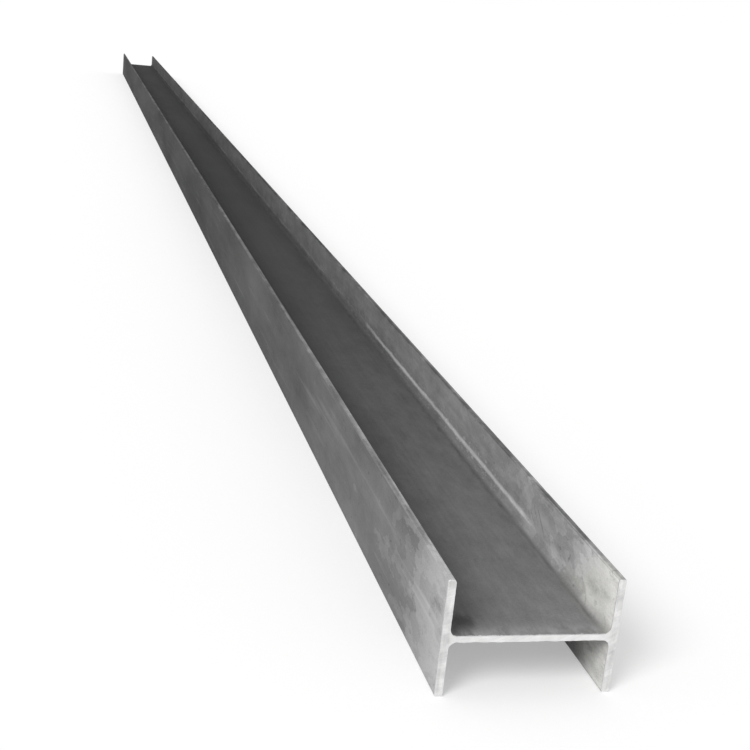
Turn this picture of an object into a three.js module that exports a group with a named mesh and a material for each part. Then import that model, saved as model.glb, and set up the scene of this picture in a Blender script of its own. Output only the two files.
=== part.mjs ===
// Hot-rolled wide-flange steel beam (H section), one length of stock.
// Millimetres, +Z up. The beam lies with its web level and its two flanges
// upright, so that its end shows a letter H. X runs across the section from
// flange to flange, Y runs along the beam and Z up. The origin is at the
// middle of the beam, level with the flange toes that it rests on.

import * as THREE from 'three';

// Driving dimensions of the rolled section and of the cut length.
const sectionDepth = 294;       // over the outer faces of the two flanges
const flangeWidth = 200;        // from toe to toe of one flange
const webThickness = 8;
const flangeThickness = 12;
const rootRadius = 13;          // fillet between the web and each flange
const toeRadius = 2;            // rolled corner at the edges of a flange
const beamLength = 12000;       // between the two sawn ends

// Straight facets that stand for each quarter turn of a rolled corner.
const facetsPerCorner = 8;

const quarterTurn = Math.PI / 2;

// Half of the section's outline, the half above the web, drawn from the
// right flange to the left one. With side -1 it is turned half round about
// the middle of the web, which gives the half below.
function traceHalf(outline, side) {
  const flangeInnerX = sectionDepth / 2 - flangeThickness;
  const toeOuterX = sectionDepth / 2 - toeRadius;
  const toeInnerX = flangeInnerX + toeRadius;
  const toeY = flangeWidth / 2 - toeRadius;
  const rootX = flangeInnerX - rootRadius;
  const rootY = webThickness / 2 + rootRadius;
  const halfTurn = side > 0 ? 0 : Math.PI;

  // A quarter of a circle, joined by a straight line to what came before.
  const corner = (x, y, radius, from, to) => {
    const clockwise = to < from;
    outline.absarc(side * x, side * y, radius, halfTurn + from, halfTurn + to, clockwise);
  };

  corner(toeOuterX, toeY, toeRadius, 0, quarterTurn);
  corner(toeInnerX, toeY, toeRadius, quarterTurn, Math.PI);
  corner(rootX, rootY, rootRadius, 0, -quarterTurn);
  corner(-rootX, rootY, rootRadius, -quarterTurn, -Math.PI);
  corner(-toeInnerX, toeY, toeRadius, 0, quarterTurn);
  corner(-toeOuterX, toeY, toeRadius, quarterTurn, Math.PI);
}

// The rolls give the bar this one section over its whole length.
function rolledSection() {
  const outline = new THREE.Shape();
  traceHalf(outline, 1);
  traceHalf(outline, -1);
  outline.closePath();
  return outline;
}

// Steel as it comes off the cooling bed, under thin blue-grey mill scale.
function millScaleSteel() {
  return new THREE.MeshStandardMaterial({
    color: 0x77787a,
    roughness: 0.55,
    metalness: 0.6,
  });
}

// The finished bar: the section run out to the sawn length, square at the ends.
function rolledBeam() {
  const geometry = new THREE.ExtrudeGeometry(rolledSection(), {
    depth: beamLength,
    curveSegments: facetsPerCorner,
    bevelEnabled: false,
  });
  const beam = new THREE.Mesh(geometry, millScaleSteel());
  beam.name = 'h_beam';
  beam.rotation.x = quarterTurn;
  beam.position.set(0, beamLength / 2, flangeWidth / 2);
  return beam;
}

const part = new THREE.Group();
part.add(rolledBeam());

export default part;
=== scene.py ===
# %% [markdown]
# # A length of rolled steel H-beam
# This notebook dresses one hot-rolled steel beam. The frame that is loaded here holds the beam as plain
# solids at their real size, in metres, with X across the section, Y along the beam and Z up. Everything
# made below goes where the frame says. Its box is kept.

# %% Load the frame
import math
import random

import bmesh
import bpy
from mathutils import Matrix, Vector, noise


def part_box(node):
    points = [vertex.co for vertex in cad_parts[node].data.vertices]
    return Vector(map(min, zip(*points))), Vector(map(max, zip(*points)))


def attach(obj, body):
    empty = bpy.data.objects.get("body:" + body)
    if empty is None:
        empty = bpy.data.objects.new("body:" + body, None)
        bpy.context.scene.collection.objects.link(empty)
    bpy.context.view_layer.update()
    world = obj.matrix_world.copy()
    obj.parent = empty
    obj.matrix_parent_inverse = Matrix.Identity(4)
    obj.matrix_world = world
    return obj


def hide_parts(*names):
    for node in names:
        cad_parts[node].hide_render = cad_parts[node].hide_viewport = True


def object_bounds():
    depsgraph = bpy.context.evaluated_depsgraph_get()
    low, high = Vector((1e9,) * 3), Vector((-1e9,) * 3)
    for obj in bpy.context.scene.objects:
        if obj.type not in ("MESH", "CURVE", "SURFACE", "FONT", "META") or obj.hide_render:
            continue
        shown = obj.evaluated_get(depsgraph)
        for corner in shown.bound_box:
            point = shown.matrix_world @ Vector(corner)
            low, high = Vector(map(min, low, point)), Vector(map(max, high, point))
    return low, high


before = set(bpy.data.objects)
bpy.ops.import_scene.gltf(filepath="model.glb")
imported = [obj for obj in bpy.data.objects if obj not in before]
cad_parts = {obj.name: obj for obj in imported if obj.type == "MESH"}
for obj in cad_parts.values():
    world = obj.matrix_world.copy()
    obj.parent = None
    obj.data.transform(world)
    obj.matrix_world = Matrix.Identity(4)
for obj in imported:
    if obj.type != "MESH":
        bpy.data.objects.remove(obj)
cad_low, cad_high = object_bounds()
print("frame box in metres:", [round(v, 4) for v in (*cad_low, *cad_high)])

# %% [markdown]
# ## The camera
# A person stands a long step in front of the beam's sawn end, a little to its left, and looks down on it.
# A camera can be aimed by a Track To constraint, or by three turns. Turns are used, because the third one,
# the lean about the line of sight, keeps the edge of the web level in the picture.

# %% Set the camera
front_y = cad_low.y
eye_left_of_beam = 0.747
eye_before_front_end = 1.746
eye_height = 1.047
turn_to_right = math.radians(14.44)
look_down = math.radians(16.19)
lean = math.radians(6.05)
lens_mm = 63.0
film_width_mm = 36.0

lens = bpy.data.cameras.new("camera")
lens.lens = lens_mm
lens.sensor_width = film_width_mm
camera = bpy.data.objects.new("camera", lens)
bpy.context.collection.objects.link(camera)
aim = (
    Matrix.Rotation(-turn_to_right, 4, "Z")
    @ Matrix.Rotation(math.pi / 2 - look_down, 4, "X")
    @ Matrix.Rotation(lean, 4, "Z")
)
eye = Vector((-eye_left_of_beam, front_y - eye_before_front_end, eye_height))
camera.matrix_world = Matrix.Translation(eye) @ aim
bpy.context.scene.camera = camera
print("camera stands at", [round(v, 3) for v in camera.location])

# %% [markdown]
# ## Maths on sockets
# A material's pattern is a sum over noises and masks. Written with nodes alone it is hard to read, so a
# small class wraps a node's output and gives it the usual signs: each + or * adds one Math node. One
# method makes every other node from its type, its settings and what goes into its sockets.

# %% Wrap a node's output
class Wire:
    """The output of a node. Adding, multiplying and so on adds a Math node behind it."""

    def __init__(self, graph, socket):
        self.graph = graph
        self.socket = socket

    def math(self, operation, *others):
        terms = (self, *others)
        return self.graph.node("ShaderNodeMath", {"operation": operation}, dict(enumerate(terms)))

    def turned(self, operation, other):
        return self.graph.node("ShaderNodeMath", {"operation": operation}, {0: other, 1: self})

    def __add__(self, other):
        return self.math("ADD", other)

    def __sub__(self, other):
        return self.math("SUBTRACT", other)

    def __mul__(self, other):
        return self.math("MULTIPLY", other)

    def __truediv__(self, other):
        return self.math("DIVIDE", other)

    def __pow__(self, other):
        return self.math("POWER", other)

    def __rsub__(self, other):
        return self.turned("SUBTRACT", other)

    __radd__ = __add__
    __rmul__ = __mul__

    def size(self):
        return self.math("ABSOLUTE")

    def step(self, low, high):
        """0 below low, 1 above high and a smooth rise between them. With low above high it falls."""
        flip = low > high
        ends = (high, low) if flip else (low, high)
        made = self.graph.node(
            "ShaderNodeMapRange",
            {"interpolation_type": "SMOOTHSTEP", "clamp": True},
            {"Value": self, "From Min": ends[0], "From Max": ends[1], "To Min": 0.0, "To Max": 1.0},
        )
        return 1 - made if flip else made


# %% Gather a material's nodes
class Graph:
    """The nodes of one material or of the world."""

    def __init__(self, tree):
        self.tree = tree
        tree.nodes.clear()

    def node(self, kind, settings=None, inputs=None, output=0):
        made = self.tree.nodes.new(kind)
        for name, value in (settings or {}).items():
            setattr(made, name, value)
        for name, value in (inputs or {}).items():
            if isinstance(value, Wire):
                self.tree.links.new(value.socket, made.inputs[name])
            else:
                made.inputs[name].default_value = value
        return Wire(self, made.outputs[output]) if made.outputs else None

    def place(self):
        """Where a point of the surface stands, in metres: the whole place, and its X, Y and Z."""
        whole = self.node("ShaderNodeTexCoord", output="Object")
        parts = [self.node("ShaderNodeSeparateXYZ", inputs={"Vector": whole}, output=axis) for axis in "XYZ"]
        return whole, *parts

    def noise(self, place, cells, detail=3.0, roughness=0.55, distortion=0.0):
        """A noise around 0.5, with its own number of cells a metre along X, Y and Z."""
        scaled = self.node("ShaderNodeVectorMath", {"operation": "MULTIPLY"}, {0: place, 1: cells})
        inputs = {
            "Vector": scaled,
            "Scale": 1.0,
            "Detail": detail,
            "Roughness": roughness,
            "Distortion": distortion,
        }
        return self.node("ShaderNodeTexNoise", {"noise_dimensions": "3D"}, inputs)

    def swing(self, place, cells, **settings):
        """A noise around nought, which takes away as much as it adds."""
        return self.noise(place, cells, **settings) - 0.5

    def mix(self, share, first, second, how="MIX"):
        """The first colour turned into the second by a share."""
        return self.node(
            "ShaderNodeMix",
            {"data_type": "RGBA", "blend_type": how, "clamp_factor": True},
            {0: share, 6: first, 7: second},
            output=2,
        )


def grey(value, warmth=0.0):
    """A grey in scene light, a little warmer where warmth is above nought."""
    return (value * (1 + warmth), value, value * (1 - warmth), 1.0)


print("socket maths is ready")

# %% [markdown]
# ## Floor, sky and lamp
# A studio for a part this long can't be lit by panels, because a panel's light fades along twelve metres.
# A sun lamp lights every metre alike, and its wide angle makes the soft edge of a shadow. The sky gives
# the rest of the light. It is plain white to the camera and to gloss, and dimmer as a source of light, so
# that the two together light a surface at about the level its colour is written for.

# %% Set the sky
bpy.context.scene.view_settings.view_transform = "Standard"
sky_light = 0.56


def looked_at(graph):
    """1 where the camera or a reflection looks at a surface, 0 where it only sends out light."""
    kinds = ("Is Camera Ray", "Is Glossy Ray", "Is Transmission Ray")
    by_camera, by_gloss, by_glass = (graph.node("ShaderNodeLightPath", output=kind) for kind in kinds)
    return (by_camera + by_gloss + by_glass).math("MINIMUM", 1.0)


world = bpy.data.worlds.new("sky")
world.use_nodes = True
bpy.context.scene.world = world
sky = Graph(world.node_tree)
strength = looked_at(sky) * (1 - sky_light) + sky_light
background = sky.node("ShaderNodeBackground", inputs={"Color": grey(1.0), "Strength": strength})
sky.node("ShaderNodeOutputWorld", inputs={"Surface": background})
print("the sky gives", sky_light, "of a surface's light")

# %% Hang the sun
sun_light = 2.1
sun_width = math.radians(26)
to_sun = Vector((-0.58, -0.52, 0.63))

sun = bpy.data.lights.new("sun", "SUN")
sun.energy = sun_light
sun.angle = sun_width
sun_lamp = bpy.data.objects.new("sun", sun)
bpy.context.collection.objects.link(sun_lamp)
sun_lamp.rotation_mode = "QUATERNION"
sun_lamp.rotation_quaternion = to_sun.to_track_quat("Z", "Y")
light_level = sky_light + sun_light * to_sun.normalized().z / math.pi
print("light on a level surface, 1 is as written:", round(light_level, 3))

# %% [markdown]
# The floor is pale paint. To the camera, a share of it is a glow that brings the open floor just up to
# white, whatever the lamps give it. So it runs into the sky without an edge, and only the beam's shadow
# is darker. A floor whose paint alone was white would show a grey horizon under dimmer lamps.

# %% Lay the floor
floor_reach = 400.0
floor_white = 0.8
floor_seen_white = 1.0
floor_glow = 0.35
just_over_white = 1.01

plane = bmesh.new()
bmesh.ops.create_grid(plane, x_segments=1, y_segments=1, size=floor_reach)
floor_mesh = bpy.data.meshes.new("floor")
plane.to_mesh(floor_mesh)
plane.free()
floor = bpy.data.objects.new("floor", floor_mesh)
bpy.context.collection.objects.link(floor)
print("floor reaches", floor_reach, "m each way")

# %% Paint the floor
floor_paint = bpy.data.materials.new("floor_paint")
floor_paint.use_nodes = True
ground = Graph(floor_paint.node_tree)
floor_seen = looked_at(ground)
paint = ground.mix(floor_seen, grey(floor_white), grey(floor_seen_white))
matt = ground.node("ShaderNodeBsdfDiffuse", inputs={"Color": paint})
open_floor = light_level * floor_seen_white
glow_strength = (just_over_white - (1 - floor_glow) * open_floor) / floor_glow
glow = ground.node("ShaderNodeEmission", inputs={"Color": grey(1.0), "Strength": glow_strength})
both = ground.node("ShaderNodeMixShader", inputs={0: floor_seen * floor_glow, 1: matt, 2: glow})
ground.node("ShaderNodeOutputMaterial", inputs={"Surface": both})
floor_mesh.materials.append(floor_paint)
print("floor glows at", round(glow_strength, 3))

# %% [markdown]
# ## The rolled section
# The rolls squeeze a hot bloom into an H: a web between two flanges, with a fillet at each root and a
# small round on each toe. The H is the same four times over, so a quarter of it is drawn from six
# corners, its root and toe corners are bevelled round, and it is mirrored twice. It could also be drawn
# whole, but then every size would stand in it four times.

# %% Measure the section
web_thickness = 0.008
flange_thickness = 0.012
root_radius = 0.013
toe_radius = 0.002
arc_segments = 8
tiny = 1e-6

box_low, box_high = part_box("h_beam")
half_depth = (box_high.x - box_low.x) / 2
half_flange = (box_high.z - box_low.z) / 2
beam_length = box_high.y - box_low.y
half_length = beam_length / 2
middle_z = (box_high.z + box_low.z) / 2
half_web = web_thickness / 2
flange_inner = half_depth - flange_thickness
print("section in mm:", round(2000 * half_depth), "by", round(2000 * half_flange))


# %% Draw a quarter and mirror it
def everything(bm):
    return bm.verts[:] + bm.edges[:] + bm.faces[:]


def round_corner(bm, x, z, radius):
    """Rounds the corner of a flat outline that stands at x, z."""
    corner = [v for v in bm.verts if abs(v.co.x - x) < tiny and abs(v.co.z - z) < tiny]
    bmesh.ops.bevel(
        bm, geom=corner, offset=radius, offset_type="OFFSET", affect="VERTICES",
        segments=arc_segments, profile=0.5, material=-1, clamp_overlap=False,
    )


section = bmesh.new()
quarter = [
    (0, 0), (half_depth, 0), (half_depth, half_flange),
    (flange_inner, half_flange), (flange_inner, half_web), (0, half_web),
]
section.faces.new([section.verts.new((x, 0, z)) for x, z in quarter])
round_corner(section, flange_inner, half_web, root_radius)
round_corner(section, flange_inner, half_flange, toe_radius)
round_corner(section, half_depth, half_flange, toe_radius)
for axis in ("X", "Z"):
    bmesh.ops.mirror(section, geom=everything(section), axis=axis, merge_dist=tiny)
print("section outline has", sum(e.is_boundary for e in section.edges), "edges")


# %% Measure round the outline
def walk_outline(start):
    """The points of a flat outline in the order in which they follow each other, first to the right."""
    order = [start]
    came_by = None
    while len(order) == 1 or order[-1] is not start:
        point = order[-1]
        ways_on = [e for e in point.link_edges if e.is_boundary and e is not came_by]
        came_by = max(ways_on, key=lambda e: e.other_vert(point).co.x)
        order.append(came_by.other_vert(point))
    return order


def section_place(vert):
    """Where a point stands on the section, the same for all points on one line along the bar."""
    return round(vert.co.x, 6), round(vert.co.z, 6)


under_web = min((v for v in section.verts if abs(v.co.x) < tiny), key=lambda v: v.co.z)
outline = walk_outline(under_web)
walked = [0.0]
for here_vert, next_vert in zip(outline, outline[1:]):
    walked.append(walked[-1] + (next_vert.co - here_vert.co).length)
girth = walked[-1]
distance_round = {section_place(v): length for v, length in zip(outline[:-1], walked)}
print("round the section it is", round(girth * 1000), "mm")

# %% [markdown]
# ## From section to bar
# The flat H is run out to the whole length in one extrusion, which closes the solid, because the faces
# that it starts from stay as the front cap. Rings of points are then sliced round the bar only where
# something will bend them: close together at the two sawn ends and at each nick, far apart between.

# %% Run the section out to a bar
def open_edges(bm):
    """How many edges don't lie between two faces. A closed solid has none."""
    return sum(not edge.is_manifold for edge in bm.edges)


bar = section
grown = bmesh.ops.extrude_face_region(bar, geom=bar.faces[:])["geom"]
grown_points = [part for part in grown if isinstance(part, bmesh.types.BMVert)]
bmesh.ops.translate(bar, vec=(0, beam_length, 0), verts=grown_points)
bmesh.ops.recalc_face_normals(bar, faces=bar.faces)
print("bar holds", round(bar.calc_volume() * 1000, 3), "litres, open edges:", open_edges(bar))


# %% Note the way round on the skin
def is_cut(face):
    """Whether a face is one of the sawn ones, which look along the bar."""
    return abs(face.normal.y) > 0.5


skin_map = bar.loops.layers.uv.new("OFBake")
for face in bar.faces:
    if is_cut(face):
        continue
    ways = [distance_round[section_place(loop.vert)] for loop in face.loops]
    last = max(ways) > girth / 2
    for loop, way in zip(face.loops, ways):
        loop[skin_map].uv = (girth if last and way == 0 else way, 0)
bmesh.ops.translate(bar, vec=(0, front_y, middle_z), verts=bar.verts)
print("skin is", round(girth, 3), "by", round(beam_length, 3), "m")

# %% Choose the nicks
nick_seed = 7
nick_count = 18
nick_rings = (-1, -0.66, -0.33, 0, 0.33, 0.66, 1)
nick_reach = (0.006, 0.017)
nick_depth = (0.0006, 0.0018)
first_nick = 0.09
nick_spread = half_length - 0.2
crowd_to_ends = 1.6
upper_toes_twice = (-1, 1, 1)
front_half_twice = (1, 1, -1)

rng = random.Random(nick_seed)
nicks = []
for number in range(nick_count):
    toward_middle = rng.random() ** crowd_to_ends
    nicks.append({
        "side": rng.choice((-1, 1)),
        "toe": rng.choice(upper_toes_twice),
        "y": (front_y + first_nick + toward_middle * nick_spread) * rng.choice(front_half_twice),
        "reach": rng.uniform(*nick_reach),
        "depth": rng.uniform(*nick_depth),
        "edge": rng.choice((-1, 0, 1)),
    })
print("nicks stand at", sorted(round(nick["y"], 2) for nick in nicks))

# %% Slice rings round the bar
end_steps = [0.0008, 0.0018, 0.0035, 0.007, 0.015, 0.04, 0.1, 0.25, 0.5]
plain_step = 0.5
plain_count = int((half_length - 1) / plain_step)

rings = [side * (half_length - step) for step in end_steps for side in (-1, 1)]
rings += [plain_step * n for n in range(-plain_count, plain_count + 1)]
rings += [nick["y"] + nick["reach"] * share for nick in nicks for share in nick_rings]
for place in sorted(set(rings)):
    bmesh.ops.bisect_plane(bar, geom=everything(bar), dist=tiny, plane_co=(0, place, 0), plane_no=(0, 1, 0))
print("bar has", len(rings), "rings and", len(bar.faces), "faces")

# %% [markdown]
# The saw leaves an uneven edge, so the first few millimetres at each end need points along that edge as
# well. Slicing the whole bar for them would cost a hundred thousand triangles that nothing bends. Only
# the faces of the first rings are sliced, and no slice runs through a root, where the fillet has points
# enough.

# %% Slice the ends fine
cell = 0.003
fine_reach = end_steps[3]
toe_start = half_flange - toe_radius
root_top = half_web + root_radius
x_cuts = [cell * n for n in range(1, int((flange_inner - root_radius) / cell) + 1)]
z_cuts = [root_top + cell * n for n in range(int((toe_start - root_top) / cell))]


def end_parts(bm):
    """The faces near the two sawn ends, with their edges and points."""
    faces = [f for f in bm.faces if min(abs(v.co.y) for v in f.verts) > half_length - fine_reach - tiny]
    edges = dict.fromkeys(e for f in faces for e in f.edges)
    points = dict.fromkeys(v for f in faces for v in f.verts)
    return [*faces, *edges, *points]


def slice_both_sides(bm, cuts, normal, middle):
    """Cuts through the ends at each distance, on both sides of the middle."""
    for distance in sorted({side * cut for cut in cuts for side in (-1, 1)}):
        bmesh.ops.bisect_plane(
            bm, geom=end_parts(bm), dist=tiny, plane_co=normal * (middle + distance), plane_no=normal,
        )


slice_both_sides(bar, x_cuts + [0], Vector((1, 0, 0)), 0)
slice_both_sides(bar, z_cuts + [0], Vector((0, 0, 1)), middle_z)
print("bar has", len(bar.faces), "faces, open edges:", open_edges(bar))

# %% [markdown]
# ## The map of the skin
# A program that can't work out the patterns below needs them as a picture, which is baked through a map
# of the surface. Blender can lay one out by itself, but gives each of the twelve metres alike. Here the
# skin is rolled out from the middle of the web's underside, each line along the bar upright on the map,
# and the two ends, which show most, get more of its height than the length between.

# %% Lay out the map
skin_share = 0.86
map_stops = [(0.0, 0.0), (0.3, 0.12), (1.5, 0.32), (beam_length - 0.3, 0.90), (beam_length, 1.0)]
cut_left, cut_width = 0.875, 0.12
cut_height = cut_width * half_depth / half_flange
map_gap = 0.01
cut_bottoms = {-1: map_gap, 1: 2 * map_gap + cut_height}


def up_the_map(from_front):
    """The height on the map of a distance from the front end, in straight runs between the stops."""
    for (near, low), (far, high) in zip(map_stops, map_stops[1:]):
        if from_front <= far + tiny:
            return low + (high - low) * (from_front - near) / (far - near)
    return 1.0


for face in bar.faces:
    end = 1 if face.calc_center_median().y > 0 else -1
    for loop in face.loops:
        place = loop.vert.co
        if is_cut(face):
            across_cut = (place.z - middle_z) / (2 * half_flange) + 0.5
            up_cut = place.x / (2 * half_depth) + 0.5
            loop[skin_map].uv = (cut_left + cut_width * across_cut, cut_bottoms[end] + cut_height * up_cut)
        else:
            loop[skin_map].uv = (loop[skin_map].uv.x / girth * skin_share, up_the_map(place.y - front_y))
print("the front 0.3 m takes", map_stops[1][1], "of the map's height")

# %% [markdown]
# ## The sawn ends
# A saw tears a thin lip out of the edges where its teeth leave the steel: the lower edge of the web and,
# less, the inner edges of the flanges. The points of the first rings are pushed along their own normals,
# most at the cut and less with each ring behind it. The amount comes from a noise, so that the lip is
# ragged, and it is nought on the outer faces and toes, which lie against other steel.

# %% Shape the lip of the saw cuts
lip_web_under = 0.0026
lip_web_over = 0.0005
lip_flange = 0.0009
lip_depth = 0.0022
lip_curl = 1.5
rag_long, rag_short = 60.0, 260.0
rag_mean, rag_by_long, rag_by_short = 0.8, 0.45, 0.3
rag_seeds = {-1: 3.0, 1: 17.0}


def rag(place, seed):
    """A ragged share from about 0.3 to 1.3 along an edge, the same on every run."""
    spot = Vector((place.x, place.z, 0))
    wide = noise.noise(spot * rag_long + Vector((seed, 0, 0)))
    fine = noise.noise(spot * rag_short + Vector((0, seed, 0)))
    return max(0.0, rag_mean + rag_by_long * wide + rag_by_short * fine)


def lip_height(place, normal):
    """How far the saw's lip stands out of the section's edge at a point."""
    outer = abs(place.x) > half_depth - toe_radius or abs(place.z - middle_z) > half_flange - toe_radius
    if outer:
        return 0.0
    under = max(0.0, -normal.z)
    over = max(0.0, normal.z)
    return lip_web_under * under + lip_web_over * over + lip_flange * abs(normal.x)


def across_normal(vert):
    """The mean of the normals of a point's faces that aren't the cut face."""
    total = Vector()
    for face in vert.link_faces:
        if not is_cut(face):
            total += face.normal
    return total.normalized() if total.length > 0 else total


# %% Push out the lip
bar.normal_update()
shifts = {}
for vert in bar.verts:
    behind_cut = half_length - abs(vert.co.y)
    if behind_cut < lip_depth:
        normal = across_normal(vert)
        fade = (1 - behind_cut / lip_depth) ** lip_curl
        seed = rag_seeds[-1 if vert.co.y < 0 else 1]
        shifts[vert] = normal * lip_height(vert.co, normal) * rag(vert.co, seed) * fade
for vert, shift in shifts.items():
    vert.co += shift
print("lip reaches", round(max(shift.length for shift in shifts.values()) * 1000, 2), "mm")

# %% [markdown]
# ## Nicks
# Chains, forks and other bars leave shallow nicks in the toes of a beam. Each is a dent pressed into the
# toe's edge, deepest in its middle, so its points move inwards and the beam stays inside its real box.

# %% Press the nicks into the toes
nick_height = 0.006
toe_half = flange_thickness / 2
nick_width = 1.6 * toe_half

dented = 0
for vert in bar.verts:
    for nick in nicks:
        aside = abs(vert.co.y - nick["y"]) / nick["reach"]
        below_toe = half_flange - (vert.co.z - middle_z) * nick["toe"]
        if aside >= 1 or below_toe > nick_height or vert.co.x * nick["side"] < 0:
            continue
        edge_x = nick["side"] * (half_depth - toe_half) + nick["edge"] * toe_half
        off_edge = abs(vert.co.x - edge_x) / nick_width
        share = (1 - aside ** 2) ** 2 * max(0.0, 1 - off_edge ** 2) * (1 - below_toe / nick_height)
        vert.co.z -= nick["toe"] * nick["depth"] * share
        dented += share > 0
print(dented, "points are dented")

# %% Make the object
sharp_from = math.radians(30)

steel = bpy.data.meshes.new("rolled_beam")
bar.to_mesh(steel)
bar.free()
beam = bpy.data.objects.new("rolled_beam", steel)
bpy.context.collection.objects.link(beam)
steel.shade_smooth()
steel.set_sharp_from_angle(angle=sharp_from)
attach(beam, "root")
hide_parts("h_beam")
print("beam has", sum(len(face.vertices) - 2 for face in steel.polygons), "triangles")

# %% [markdown]
# ## Mill scale
# Hot steel takes a thin skin of dark blue-grey oxide. It is streaked along the bar by the rolls and cloudy
# where it cooled unevenly. Near the front end it is paler, partly from wear where the beam is handled
# most and partly as painted light that falls off along the bar. The skin could be painted on an unwrapped
# picture. Here it is built from noises that read the place of each point in metres, so that it has its
# real size on every face and no seam. The whole skin is worked out as one number, the level of grey, and
# each cell below changes that level a little. Some cells paint light and shade into that level as well.

# %% Measure places on the beam
scale_skin = bpy.data.materials.new("mill_scale")
scale_skin.use_nodes = True
skin = Graph(scale_skin.node_tree)
here, across, along, height = skin.place()
off_centre = across.size()
off_web = (height - middle_z).size()
from_front = along - front_y
from_back = half_length - along
from_cut = half_length - along.size()
print("places are measured with", len(skin.tree.nodes), "nodes")

# %% Tell the faces apart
# Each pair is where a mask starts and where it is full, in metres from the middle of the section.
flange_from = (flange_inner - root_radius, flange_inner - 0.001)
outside_from = (half_depth - 0.003, half_depth - 0.0005)
toe_from = (half_flange - 0.0035, half_flange - 0.0005)

on_flange = off_centre.step(*flange_from)
on_outside = off_centre.step(*outside_from)
on_toe = off_web.step(*toe_from)
on_web = 1 - on_flange
inner_face = on_flange * (1 - on_outside)
print("web, flange, outer face and toe each have a mask")

# %% Mix the patterns
# The three numbers are cells a metre across, along and up. Few cells along the beam make a streak.
cloud = skin.swing(here, (5, 1.1, 5), detail=3)
drift = skin.swing(here, (9, 3.0, 9), detail=4)
blotch = skin.swing(here, (20, 7, 20), detail=6, roughness=0.6)
patch = skin.swing(here, (34, 13, 34), detail=7, roughness=0.65)
wobble = skin.swing(here, (60, 22, 60), detail=4)
grain = skin.swing(here, (420, 260, 420), detail=3)
streak = skin.swing(here, (170, 1.1, 170), detail=2)
slide_mark = skin.swing(here, (48, 1.3, 48), detail=6, roughness=0.62)
print("the patterns are mixed,", len(skin.tree.nodes), "nodes so far")

# %% Set the tone along the beam
# The number beside a pattern is the share by which it varies the tone.
front_wear_and_light_length = 1.45
dark_tone = 0.046
front_wear_and_light_tone = 0.130
inner_face_light, outer_face_light, far_web_shade = 0.95, 0.30, 0.30
side_light_half_width = 0.13
left_side_shade, right_side_light = 0.86, 1.16

# Paler toward the front end: partly wear from handling, partly painted light that falls off along the beam.
front_wear_and_light = (from_front * (-1 / front_wear_and_light_length)).math("EXPONENT")
# Painted shade and light across the beam: its left side is painted darker and its right side lighter.
side_light = left_side_shade + across.step(-side_light_half_width, side_light_half_width) * (right_side_light - left_side_shade)
# Painted light and shade by face: the inner and outer faces of the flanges are painted paler, and the web is
# painted darker away from the front.
face_light = 1 + inner_face * inner_face_light + on_outside * outer_face_light - on_web * (1 - front_wear_and_light) * far_web_shade
unevenness = 1 + cloud * (0.6 + on_outside * 1.1) + patch * 0.9 + streak * 0.22 + grain * 0.45
level = (dark_tone + front_wear_and_light_tone * front_wear_and_light) * unevenness * side_light * face_light
print("tone runs from", dark_tone + front_wear_and_light_tone, "at the front to", dark_tone)

# %% Brighten where beams slid on each other
slide_from = (0.05, 0.20)
slide_gain, slide_gain_near_front = 0.022, 0.030

slid = on_outside * slide_mark.step(*slide_from)
level = level + slid * (slide_gain + front_wear_and_light * slide_gain_near_front)
print("slide marks lie on the outer faces")

# %% [markdown]
# ## Wear at the ends
# A beam is struck, slung and dragged by its ends. There the scale breaks off in flakes with sharp edges,
# and what is left between them is pitted and scratched. Close to the cut it is gone, so the bare steel
# shows pale. The flakes could be modelled as steps, but they are a tenth of a millimetre thick, and only
# their grey can be seen. A sharp step through a noise gives such edges, a wide one a soft change.

# %% Flake and pit the flanges
flake_start, flake_edge = 0.42, 0.012
flake_fade = 0.30
bare_gain, kept_loss = 0.24, 0.08
pit_from, pit_loss = (0.67, 0.71), 0.30

flake = skin.noise(here, (15, 8, 15), detail=8, roughness=0.55)
bared = (flake - from_front * flake_fade - flake_start).step(0.0, flake_edge) * bare_gain - kept_loss
pit = skin.noise(here, (60, 48, 60), detail=2).step(*pit_from)
level = level * (1 + (bared - pit * pit_loss) * front_wear_and_light * on_flange)
print("no flake lies past", round((1 - flake_start) / flake_fade, 1), "m from the front")

# %% Scratch the flanges
slant_cos, slant_sin = 0.8, 0.6
scratch_cells = (9, 190, 9)
scratch_from, scratch_where = (0.60, 0.68), (0.00, 0.10)
blotch_gain, scratch_loss = 0.9, 0.30

slanted = skin.node("ShaderNodeCombineXYZ", inputs={
    "X": along * slant_cos + height * slant_sin,
    "Y": height * slant_cos - along * slant_sin,
    "Z": across,
})
stroke = skin.noise(slanted, scratch_cells, detail=3, distortion=0.4).step(*scratch_from)
scratch = stroke * blotch.step(*scratch_where)
level = level * (1 + inner_face * (blotch * blotch_gain - scratch * scratch_loss))
print("scratches lie about", round(1000 / scratch_cells[1]), "mm apart")

# %% Bare the last of the flanges
# The number beside a pattern is how many metres it moves an edge.
peel_edge, peel_share = (0.205, 0.190), 0.32
peel_fade, peel_fade_share = (0.22, 0.0), 0.58
back_fade, back_share = (0.12, 0.02), 0.5
root_clear = 0.018
bloom_tone = 0.30
bloom_toe_loss, bloom_outer_shade = 0.85, 0.25

peel_reach = from_front + patch * 0.5 + cloud * 0.2 + grain * 0.06
back_reach = from_back + patch * 0.3 + cloud * 0.1
peeled = peel_reach.step(*peel_edge) * peel_share + peel_reach.step(*peel_fade) * peel_fade_share
bloom_reach = peeled + back_reach.step(*back_fade) * back_share
above_root = (off_web.step(half_web, half_web + root_clear) + on_outside).math("MINIMUM", 1.0)
bloom = bloom_reach * on_flange * above_root
# The outer faces get less of the pale steel, as painted shade.
bloom = bloom * (1 - on_toe * bloom_toe_loss) * (1 - on_outside * bloom_outer_shade)
level = level + bloom * (bloom_tone + patch * 0.8 + grain * 0.2)
print("bare steel reaches about", round(sum(peel_edge) / 2, 2), "m from the front")

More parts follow.
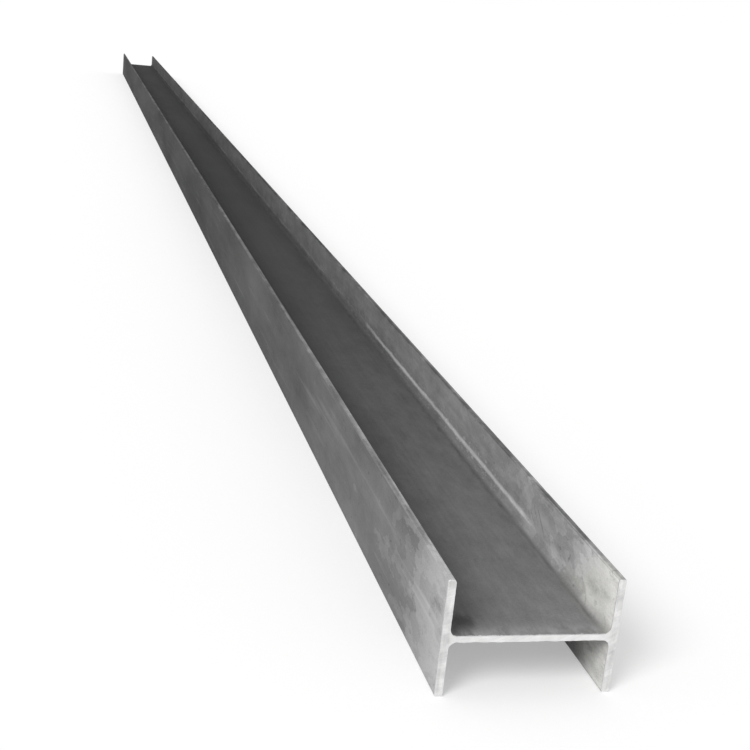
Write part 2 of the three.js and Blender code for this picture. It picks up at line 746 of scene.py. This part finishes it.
# %% Paint shade into the front corners and a dark spot by the left flange
corner_shade_up, corner_shade_in, corner_shade_loss = (0.055, 0.014), (0.11, 0.04), 0.21
oil_shadow_x, oil_shadow_y = 0.026 - flange_inner, 0.038
oil_shadow_half_width, oil_shadow_half_length = 0.036, 0.040
oil_shadow_edge, oil_shadow_loss = (1.2, 0.2), 0.5

# Painted shade at the foot of the flanges' inner faces near the front, in the corner by the web.
corner_shade = inner_face * off_web.step(*corner_shade_up) * from_front.step(*corner_shade_in)
level = level * (1 - corner_shade * corner_shade_loss)
# A dark spot on the web by the left flange's front foot: partly an oily stain, partly painted shadow of the
# flange's front corner.
oil_shadow_across = (across - oil_shadow_x) / oil_shadow_half_width
oil_shadow_along = (from_front - oil_shadow_y) / oil_shadow_half_length
oil_shadow = (oil_shadow_across ** 2 + oil_shadow_along ** 2 + patch * 2.5).step(*oil_shadow_edge) * on_web
level = level * (1 - oil_shadow * oil_shadow_loss)
print("an oily spot lies", round(1000 * (oil_shadow_x + flange_inner)), "mm from the left flange")

# %% Paint light on the web beside the cuts and bare the torn lip
web_light_reach, web_light_gain = (0.048, 0.016), 0.072
torn_reach, torn_tone = (0.0045, 0.002), 0.62

# A strip of painted light on the web beside each cut.
web_painted_light = (from_cut + patch * 0.10 + cloud * 0.02).step(*web_light_reach) * on_web
level = level + web_painted_light * (web_light_gain + patch * 0.35)
torn = (from_cut + (streak + grain) * 0.006).step(*torn_reach)
level = skin.node("ShaderNodeMix", {"data_type": "FLOAT"}, {0: torn, 2: level, 3: torn_tone}, output=0)
print("the lip of the cut is bare for", round(1000 * sum(torn_reach) / 2, 1), "mm")

# %% [markdown]
# ## Roots and toes
# In a stack, the toes of one beam stand on the web of the next and rub a line along its flange just above
# the root; here that line is painted as a highlight, with a band of painted shade above it. It starts less
# than half a metre from the front end and stops short before two. Below that line the scale is whole, and
# the crease, the fillet and the foot of the flange are painted darker as shade. The toes are painted darker
# as shade and rubbed lighter on the left side. All of these follow the section, so they are drawn by the
# distance from the web and from the middle, and patterns make them waver and break.

# %% Draw the rubbed line as a painted highlight
line_up = half_web + 0.0195
line_width, line_gain = (0.0078, 0.0010), 0.34
line_starts, line_stops, line_fade = (0.39, 0.44), (1.87, 1.83), (2.6, 1.2)
line_share, line_share_far, line_share_all = 0.87, 0.06, 0.07
line_gap_at, line_gaps = 0.20, (-0.10, 0.04)

off_line = off_web - line_up
up_from_line = off_line + grain * 0.004 + wobble * 0.006 + drift * 0.008
from_line = up_from_line.size()
unbroken = (drift + wobble * 0.5 + line_gap_at).step(*line_gaps)
line_end = from_front + wobble * 0.10
along_line = from_front.step(*line_fade) * line_end.step(*line_stops) * line_share + line_share_far
line_reach = line_end.step(*line_starts) * along_line + line_share_all
# A painted highlight along the line that the toes rub.
rub_highlight = from_line.step(*line_width) * unbroken * line_reach * inner_face
print("the line runs", round(1000 * (line_up - half_web), 1), "mm above the web")

# %% Paint shade above the line and fleck it
shade_up, shade_width, shade_loss = 0.015, (0.010, 0.002), 0.07
fleck_cells, fleck_from, fleck_gain = (190, 60, 190), (0.57, 0.64), 0.20
fleck_width, fleck_starts = (0.034, 0.006), (0.30, 0.80)

# A band of painted shade just above the line.
shade = (off_line - shade_up).size().step(*shade_width) * line_reach * inner_face
level = (level + rub_highlight * line_gain) * (1 - shade * shade_loss)
beside_line = from_line.step(*fleck_width) * inner_face
fleck = skin.noise(here, fleck_cells, detail=3).step(*fleck_from) * beside_line * unbroken * front_wear_and_light
level = level + fleck * from_front.step(*fleck_starts) * fleck_gain
print("flecks lie within", round(1000 * fleck_width[0]), "mm of the line")

# %% Paint shade into the crease
crease_x = flange_inner - root_radius + 0.0045
crease_width, crease_loss = (0.011, 0.001), 0.11
crease_fade, crease_share, crease_share_far = (4.0, 1.5), 0.6, 0.4

off_crease = off_centre - crease_x + patch * 0.020 + wobble * 0.026
crease = off_crease.size().step(*crease_width) * on_web
crease_shade_tone = (crease_loss + patch * 1.5) * (from_front.step(*crease_fade) * crease_share + crease_share_far)
# Painted shade along the crease of the root, on the web.
level = level * (1 - crease * crease_shade_tone)
print("crease lies", round(1000 * (flange_inner - crease_x), 1), "mm from the flange")

# %% Paint shade into the fillet and the flange's foot
fillet_reach = (root_radius - 0.0005, root_radius * 0.5)
fillet_shade_loss, fillet_shade_loss_far = 0.20, 0.15
foot_fade, foot_shade_loss = (0.070, 0.012), 0.15
foot_end, foot_end_shade_loss = (0.003, -0.003), 0.27

from_fillet = ((off_centre - flange_inner) ** 2 + (off_web - half_web) ** 2).math("SQRT")
in_fillet = from_fillet.step(*fillet_reach) * (1 - on_outside)
foot_edge = (up_from_line + drift * 0.045).step(*foot_end)
foot_shade = inner_face * (off_web.step(*foot_fade) * foot_shade_loss + foot_edge * foot_end_shade_loss)
# Painted shade in the fillet, deeper away from the front, and on the foot of the flanges' inner faces.
level = level * (1 - in_fillet * fillet_shade_loss) * (1 - (1 - front_wear_and_light) * (in_fillet * fillet_shade_loss_far + foot_shade))
print("the foot of the flange is darker by up to", foot_shade_loss + foot_end_shade_loss)

# %% Paint shade on the toes and wear them
rubbed_side = (0.0, -0.1)
rubbed_gain, toe_shade_loss, most_loss = 0.62, 0.45, -0.65

rubbed = across.step(*rubbed_side) * rubbed_gain
# All toes are painted darker as shade, and the left ones are rubbed lighter by wear.
toe_wear_and_shade = (rubbed + streak * 2.0 + patch + blotch * 1.5 - toe_shade_loss).math("MAXIMUM", most_loss)
level = level * (1 + on_toe * toe_wear_and_shade)
print("toes are marked,", len(skin.tree.nodes), "nodes so far")

# %% [markdown]
# ## From level to surface
# The level becomes a colour, which is neutral but for a faint warmth where the right flange is bare. The
# same patterns lift the surface by a hair. Mill scale is oxide and not metal, so it is dull and scatters
# light like a stone. Only the torn lip of the cut is part metal.

# %% Put the scale together
warm_reach, warm_from = (0.25, 0.16), (0.112, 0.130)
warm_tint = (1.006, 1.0, 0.966, 1.0)
relief_strength, relief_height = 0.3, 0.0005
scale_roughness = 0.82
scale_specular = 0.07

plain_colour = skin.mix(level, grey(0.0), grey(1.0))
warm = (from_front + off_web * 1.15 + patch * 0.15).step(*warm_reach) * across.step(*warm_from)
scale_colour = skin.mix(warm, plain_colour, warm_tint, "MULTIPLY")
relief = skin.node("ShaderNodeBump", inputs={
    "Strength": relief_strength,
    "Distance": relief_height,
    "Height": patch * 0.4 + grain * 0.35 + streak * 0.25,
})
surface = skin.node("ShaderNodeBsdfPrincipled", inputs={
    "Base Color": scale_colour,
    "Roughness": scale_roughness - front_wear_and_light * 0.2 + patch * 0.4 - torn * 0.15,
    "Metallic": torn * 0.4,
    "Specular IOR Level": scale_specular,
    "Normal": relief,
})
skin.node("ShaderNodeOutputMaterial", inputs={"Surface": surface})
steel.materials.append(scale_skin)
print("mill scale has", len(skin.tree.nodes), "nodes")

# %% [markdown]
# ## Fresh-sawn steel
# The two cut faces are bare metal, so they get a material of their own, on the faces that look along the
# beam. Fine arcs on them are the tracks of the saw's teeth, all struck from the middle of one large blade.
# The flanges are thick and stand on edge, so the saw drags in them and leaves them duller than the web.

# %% Trace the saw on the cut faces
blade_x, blade_z = -0.35, 0.95
tracks_per_metre = 260
drag_from = (flange_inner - 0.008, flange_inner + 0.003)

cut_metal = bpy.data.materials.new("sawn_steel")
cut_metal.use_nodes = True
cut = Graph(cut_metal.node_tree)
spot, spot_x, spot_y, spot_z = cut.place()
from_blade = ((spot_x - blade_x) ** 2 + (spot_z - blade_z) ** 2).math("SQRT")
tracks = cut.node(
    "ShaderNodeTexNoise",
    {"noise_dimensions": "1D"},
    {"W": from_blade * tracks_per_metre, "Scale": 1.0, "Detail": 3.0},
) - 0.5
smear = cut.swing(spot, (45, 45, 45), detail=4)
dragged = cut.swing(spot, (150, 1, 16), detail=3)
flange_cut = spot_x.size().step(*drag_from)
print("a saw track is about", round(1000 / tracks_per_metre, 1), "mm wide")

# %% Paint the cut faces
cut_tone, drag_loss = 0.80, 0.115
cut_warmth = 0.005
track_strength, track_height = 0.2, 0.0002
cut_roughness, cut_metallic = 0.5, 0.3

cut_level = cut_tone + tracks * 0.14 + smear * 0.35
cut_level = cut_level - flange_cut * (drag_loss - smear * 0.30 - dragged * 0.45)
cut_colour = cut.mix(cut_level, grey(0.0), grey(1.0, cut_warmth))
cut_bump = cut.node("ShaderNodeBump", inputs={
    "Strength": track_strength, "Distance": track_height, "Height": tracks,
})
cut_surface = cut.node("ShaderNodeBsdfPrincipled", inputs={
    "Base Color": cut_colour, "Roughness": cut_roughness, "Metallic": cut_metallic, "Normal": cut_bump,
})
cut.node("ShaderNodeOutputMaterial", inputs={"Surface": cut_surface})
steel.materials.append(cut_metal)
print("sawn steel has", len(cut.tree.nodes), "nodes")

# %% Give the cut faces their steel
# The back of the torn lip leans far enough to count as sawn too: it is as bare as the cut.
square_on = 0.7

for face in steel.polygons:
    face.material_index = 1 if abs(face.normal.y) > square_on else 0
print(sum(face.material_index for face in steel.polygons), "faces are sawn")
